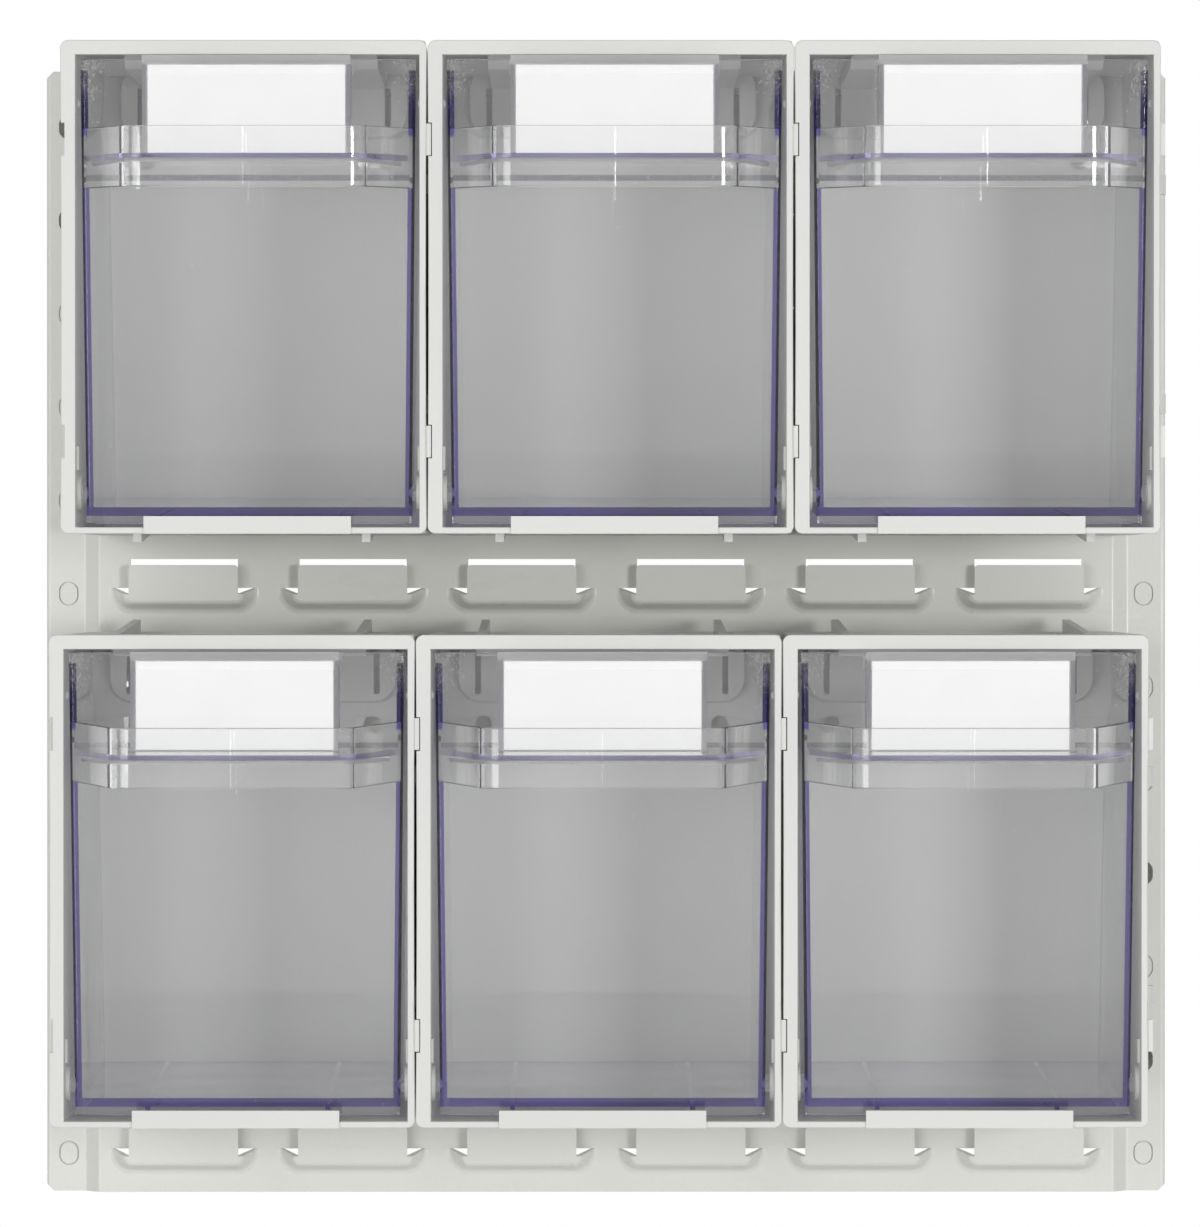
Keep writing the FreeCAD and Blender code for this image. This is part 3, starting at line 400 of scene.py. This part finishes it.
def bin_marks(s):
    """Masks of the marks on a bin, each 0 to 1: the specks of its scuffed upper corners, the
    parting line down its grip, the front edges of its sides that get painted dark navy shade, and
    all places that are dull."""
    across, up, y = place_in_bin(s)
    corner = s.times(s.rise(across, *CORNER_ACROSS), s.rise(up, *CORNER_UP))
    dust = s.noise(1000.0, 4.0, (1.0, 1.0, 0.6), 0.7)
    specks = s.rise(s.plus(dust, s.times(corner, 0.2)), 0.68, 0.76)
    parting = s.times(s.fall(across, *PARTING_ACROSS), s.band(up, *PARTING_UP))
    # Painted shade mask: the side walls' front edges above the grip, which take the dark navy
    # colour.
    edge = s.times(s.rise(across, *SHADED_EDGE_ACROSS), s.fall(y, *SHADED_EDGE_BACK), s.band(up, *SHADED_EDGE_UP))
    web = s.times(s.band(up, *WEB_UP), s.fall(y, *WEB_BACK))
    bead = s.times(s.rise(up, *BEAD_UP), s.fall(across, *BEAD_ACROSS))
    pocket = s.times(s.band(across, *POCKET_ACROSS), s.band(y, *POCKET_BACK),
                     s.rise(up, *POCKET_UP))
    return specks, parting, edge, s.largest(web, bead, pocket, specks)


def clear_plastic(finish):
    """Clear plastic that tints light by the length of its way through: violet at the edges, nearly
    clear through one wall, with fine upright scratches, a touch of moulding ripple, scuffed upper
    corners and the mould's parting line down the middle of the grip. The side walls' front edges
    above the grip carry painted shade, a dark navy colour. Shadow rays and light that has already
    been spread pass straight on."""
    s = Shades("Clear violet-edged plastic")
    specks, parting, edge, dull = bin_marks(s)
    scratch = s.noise(46.0, 5.0, (34.0, 34.0, 1.0), 0.7)
    ripple = s.noise(24.0, 1.0, (1.0, 1.0, 0.5))
    # Painted shade: the front edges above the grip take the dark navy colour in place of the clear
    # one, partly the plastic's long-path violet and partly the shade of the gap behind.
    base = s.blend(edge, tuple(finish.clear), tuple(finish.painted_edge_shade))
    rough = s.plus(s.spread(scratch, 0.6, 0.78, 0.025, 0.13), s.times(dull, 0.5))
    normal = s.bump(ripple, 0.0006, 0.12)
    normal = s.bump(parting, 0.00008, 0.5, normal)
    normal = s.bump(specks, 0.00006, 0.6, normal)
    normal = s.bump(s.rise(scratch, 0.66, 0.76), finish.scratch, 0.5, normal)
    shader = s.skin(base, rough, normal, IOR=finish.ior, Transmission_Weight=0.97)
    passing = s.add("ShaderNodeBsdfTransparent", Color=(0.98, 0.98, 0.975, 1.0))
    path = s.add("ShaderNodeLightPath")
    spread_light = maths(s.tree, "GREATER_THAN", path.outputs["Diffuse Depth"], 0.5)
    passes = s.largest(path.outputs["Is Shadow Ray"], spread_light)
    tint = s.add("ShaderNodeVolumeAbsorption", Density=finish.depth, Color=(*finish.tint, 1.0))
    s.link(tint.outputs[0], s.out.inputs["Volume"])
    return s.done(mix_shaders(s.tree, passes, shader, passing))


def card_paper(finish):
    """Smooth white card: faint fibres and a barely mottled surface."""
    s = Shades("White card")
    paper = tuple(finish.paper)
    fibre = s.noise(900.0, 4.0, (1.0, 1.0, 0.25), 0.6)
    mottle = s.noise(60.0, 2.0)
    base = s.blend(s.rise(mottle, *GRAINS), shade(paper, 0.985), shade(paper, 1.01))
    base = s.blend(s.spread(fibre, 0.62, 0.8, 0.0, 0.4), base, shade(paper, 0.94))
    rough = s.spread(fibre, *GRAINS, 0.6, 0.75)
    return s.done(s.skin(base, rough, s.bump(fibre, 0.00003, 0.6), IOR=1.45))


def zinc_plate(finish):
    """Zinc-plated steel: bright, a little cloudy, finely turned."""
    s = Shades("Zinc plate")
    zinc = tuple(finish.zinc)
    cloud = s.noise(300.0, 3.0)
    grain = s.noise(4000.0, 2.0, (1.0, 0.2, 1.0))
    base = s.blend(s.rise(cloud, *GRAINS), shade(zinc, 0.88), shade(zinc, 1.05))
    rough = s.spread(cloud, *GRAINS, 0.24, 0.4)
    return s.done(s.skin(base, rough, s.bump(grain, 0.00002, 0.5), Metallic=1.0))


# ------------------------------------------------------------------ pieces

def bowed_card(name, box, finish, material):
    """Thin card: across = half width x u, up = height x v, forward = bow x (1 - u squared);
    the front sheet and the back sheet are one loop round the thickness, closed at both sides."""
    solid_thickness, spare = 0.0004, 0.002
    low, high = (np.array(p) for p in box)
    middle, half = (low + high) / 2, (high - low) / 2
    lean = math.atan2(high[1] - low[1] - solid_thickness, high[2] - low[2])
    u = np.linspace(-1, 1, 41)[:, None]
    loop = np.array([(0, 0), (0, 0.25), (0, 0.5), (0, 0.75), (0, 1),
                     (1, 1), (1, 0.5), (1, 0)], float)
    back, up = loop[:, 0][None, :], loop[:, 1][None, :]
    x = middle[0] + half[0] * u + 0 * back
    z = low[2] + (high[2] - low[2]) * (spare + (1 - 2 * spare) * up) + 0 * u
    y = middle[1] - (z - middle[2]) * math.tan(lean)
    y = y + (back - 0.5) * finish.thickness - finish.bow * (1 - u ** 2)
    verts = np.stack([x, y, z], axis=-1)
    rows, cols = u.shape[0], loop.shape[0]
    faces = [quads(rows, cols, wrap_cols=True),
             [np.arange(cols)[::-1]], [(rows - 1) * cols + np.arange(cols)]]
    return new_piece(name, verts.reshape(-1, 3), faces, material, smooth=False)


def turned_screw(name, box, finish, material):
    """Surface of revolution about the screw's axis: a crowned head, its flat seat and the shank.
    The cross recess sinks the crown where either side distance is under half the slot's width,
    eased over a fifth of that width and faded out towards the rim."""
    rings, steps = 30, 96
    shank_share, seat_share, tip_share = 0.645, 0.985, 0.9
    recess_reach, recess_fade = 0.64, 0.1
    seat, above_seat, end_round = -0.00125, 0.0002, 0.0002
    low, high = (np.array(p) for p in box)
    centre = (low + high) / 2
    head = (high[0] - low[0]) / 2
    shank = head * shank_share
    crown = seat - low[1]
    turn = np.linspace(0, 2 * math.pi, steps, endpoint=False)[None, :]
    rise = np.linspace(0, 1, rings) ** 0.8
    r = np.concatenate([head * rise, [head, head * seat_share, shank, shank, shank * tip_share]])
    y = np.concatenate([low[1] + crown * (1 - np.sqrt(1 - 0.92 * rise ** 4)) * 0.9,
                        [seat - above_seat, seat, seat, -end_round, 0.0]])
    r, y = r[:, None], y[:, None]
    x, z = r * np.cos(turn), r * np.sin(turn)
    near = np.minimum(np.abs(x), np.abs(z)) / (finish.recess_width / 2)
    sink = np.clip((1.2 - near) / 0.4, 0, 1)
    sink = sink * np.clip((recess_reach * head - r) / (recess_fade * head), 0, 1)
    on_crown = (np.arange(r.size) < rings)[:, None]
    y = y + np.where(on_crown, sink * finish.recess_depth, 0.0)
    verts = np.stack([centre[0] + x, y + 0 * x, centre[2] + z], axis=-1)
    rows, cols = r.size, turn.size
    faces = [quads(rows, cols, wrap_cols=True), [(rows - 1) * cols + np.arange(cols)[::-1]]]
    return new_piece(name, verts.reshape(-1, 3), faces, material)


class ORGANIZER_OT_panel(Operator):
    """Give the louvred panel its powder coat"""
    bl_idname = "organizer.panel"
    bl_label = "Finish louvred panel"

    def execute(self, context):
        dress(["louvred_panel"], powder_coat(context.scene.organizer.panel))
        return {"FINISHED"}


class ORGANIZER_OT_housings(Operator):
    """Give the six housings their moulded plastic"""
    bl_idname = "organizer.housings"
    bl_label = "Finish housings"

    def execute(self, context):
        moulding = housing_plastic(context.scene.organizer.housing)
        dress(["housing_" + place for place in PLACES], moulding)
        return {"FINISHED"}


class ORGANIZER_OT_bins(Operator):
    """Give the six tilt bins their clear plastic"""
    bl_idname = "organizer.bins"
    bl_label = "Finish tilt bins"

    def execute(self, context):
        dress(["bin_" + place for place in PLACES], clear_plastic(context.scene.organizer.bins))
        return {"FINISHED"}


class ORGANIZER_OT_cards(Operator):
    """Make the six label cards, each slightly bowed in its pocket"""
    bl_idname = "organizer.cards"
    bl_label = "Make label cards"

    def execute(self, context):
        finish = context.scene.organizer.card
        paper = card_paper(finish)
        for place in PLACES:
            node = "label_" + place
            card = bowed_card("card_" + place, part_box(node), finish, paper)
            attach(card, "tilt_" + place)
            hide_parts(node)
        return {"FINISHED"}


class ORGANIZER_OT_screws(Operator):
    """Make the four plated wall screws behind the flange slots"""
    bl_idname = "organizer.screws"
    bl_label = "Make wall screws"

    def execute(self, context):
        finish = context.scene.organizer.screw
        zinc = zinc_plate(finish)
        for node in SCREWS:
            screw = turned_screw(node.replace("wall_", "plated_"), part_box(node), finish, zinc)
            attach(screw, "wall_unit")
            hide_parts(node)
        return {"FINISHED"}


# ------------------------------------------------------------------ stage

def lamp(name, place, aim, size, power):
    """Oblong area lamp at place, its face turned to aim."""
    data = bpy.data.lights.new(name, "AREA")
    data.shape = "RECTANGLE"
    data.size, data.size_y = size
    data.energy = power
    thing = bpy.data.objects.new(name, data)
    thing.location = place
    x, y, z = np.array(aim, float) - np.array(place, float)
    thing.rotation_euler = [math.atan2(math.hypot(x, y), -z), 0, math.atan2(x, -y) + math.pi]
    bpy.context.scene.collection.objects.link(thing)
    return thing


def seen_ray(tree):
    """1 for rays from the eye, straight, mirrored or through clear plastic; 0 for light that
    falls on things."""
    path = tree.nodes.new("ShaderNodeLightPath").outputs
    unspread = maths(tree, "LESS_THAN", path["Diffuse Depth"], 0.5)
    bent = maths(tree, "MAXIMUM", path["Is Transmission Ray"], path["Is Glossy Ray"])
    return maths(tree, "MAXIMUM", path["Is Camera Ray"], maths(tree, "MULTIPLY", bent, unspread))


def floor_finish():
    """Matte pale floor near the organizer that fades into plain white further out."""
    s = Shades("Pale floor")
    grain = s.noise(60.0, 3.0)
    base = s.blend(grain, (0.9, 0.9, 0.9), (0.93, 0.93, 0.93))
    shader = s.skin(base, s.spread(grain, *GRAINS, 0.75, 0.9), IOR=1.4)
    reach = s.add("ShaderNodeVectorMath")
    reach.operation = "LENGTH"
    s.link(s.coords, reach.inputs[0])
    far = s.rise(reach.outputs["Value"], *FLOOR_FADE)
    glow = s.add("ShaderNodeEmission", Strength=1.0, Color=(1, 1, 1, 1))
    return s.done(mix_shaders(s.tree, s.times(far, seen_ray(s.tree)), shader, glow))


def backdrop(strength):
    """World that looks plain white and gives an even light of the given strength."""
    world = bpy.data.worlds.new("Soft light")
    world.use_nodes = True
    tree = world.node_tree
    tree.nodes.clear()
    lights = []
    for power in (strength, 1.0):
        light = tree.nodes.new("ShaderNodeBackground")
        light.inputs["Color"].default_value = (1, 1, 1, 1)
        light.inputs["Strength"].default_value = power
        lights.append(light)
    out = tree.nodes.new("ShaderNodeOutputWorld")
    tree.links.new(mix_shaders(tree, seen_ray(tree), *lights).outputs[0], out.inputs["Surface"])
    return world


class ORGANIZER_OT_stage(Operator):
    """Set the pale floor, the soft light, the two front lamps and the camera"""
    bl_idname = "organizer.stage"
    bl_label = "Set stage"

    def execute(self, context):
        finish = context.scene.organizer.stage
        low = CAD_BOX[0][2] - finish.floor_drop
        along = np.linspace(-FLOOR_REACH, FLOOR_REACH, FLOOR_POINTS)
        u, v = np.meshgrid(along, along, indexing="ij")
        verts = np.stack([u, v, np.full_like(u, low)], axis=-1).reshape(-1, 3)
        faces = [quads(FLOOR_POINTS, FLOOR_POINTS)[:, ::-1]]
        floor = new_piece("floor", verts, faces, floor_finish(), smooth=False)

        context.scene.world = backdrop(finish.soft_light)
        for name, place, size in LAMPS:
            lamp(name, place, LAMP_AIM, size, finish.lamp_power)

        cam = bpy.data.cameras.new("Front view")
        cam.sensor_fit = "HORIZONTAL"
        cam.sensor_width = EYE_SENSOR
        cam.lens = EYE_LENS
        cam.clip_end = EYE_REACH
        eye = bpy.data.objects.new("Front view", cam)
        eye.location = EYE_PLACE
        eye.rotation_euler = EYE_TURN
        context.scene.collection.objects.link(eye)
        context.scene.camera = eye
        context.scene.view_settings.view_transform = "Standard"
        return {"FINISHED"}


# ------------------------------------------------------------------ sidebar and start

class ORGANIZER_PT_sidebar(Panel):
    """Sizes, colours and steps of the organizer"""
    bl_idname = "ORGANIZER_PT_sidebar"
    bl_label = "Tilt Bin Organizer"
    bl_space_type = "VIEW_3D"
    bl_region_type = "UI"
    bl_category = "Organizer"

    def draw(self, context):
        settings = context.scene.organizer
        steps = (("panel", "organizer.panel"), ("housing", "organizer.housings"),
                 ("bins", "organizer.bins"), ("card", "organizer.cards"),
                 ("screw", "organizer.screws"), ("stage", "organizer.stage"))
        for group_name, step in steps:
            group = getattr(settings, group_name)
            part = self.layout.box()
            for key in group.__annotations__:
                part.prop(group, key)
            part.operator(step)


CLASSES = (PanelFinish, HousingFinish, BinFinish, CardFinish, ScrewFinish, StageFinish,
           OrganizerSettings, ORGANIZER_OT_panel, ORGANIZER_OT_housings, ORGANIZER_OT_bins,
           ORGANIZER_OT_cards, ORGANIZER_OT_screws, ORGANIZER_OT_stage, ORGANIZER_PT_sidebar)


def register():
    for cls in CLASSES:
        bpy.utils.register_class(cls)
    bpy.types.Scene.organizer = PointerProperty(type=OrganizerSettings)


def unregister():
    del bpy.types.Scene.organizer
    for cls in reversed(CLASSES):
        bpy.utils.unregister_class(cls)


def main():
    register()
    bpy.ops.organizer.panel()
    bpy.ops.organizer.housings()
    bpy.ops.organizer.bins()
    bpy.ops.organizer.cards()
    bpy.ops.organizer.screws()
    bpy.ops.organizer.stage()


if __name__ == "__main__":
    main()
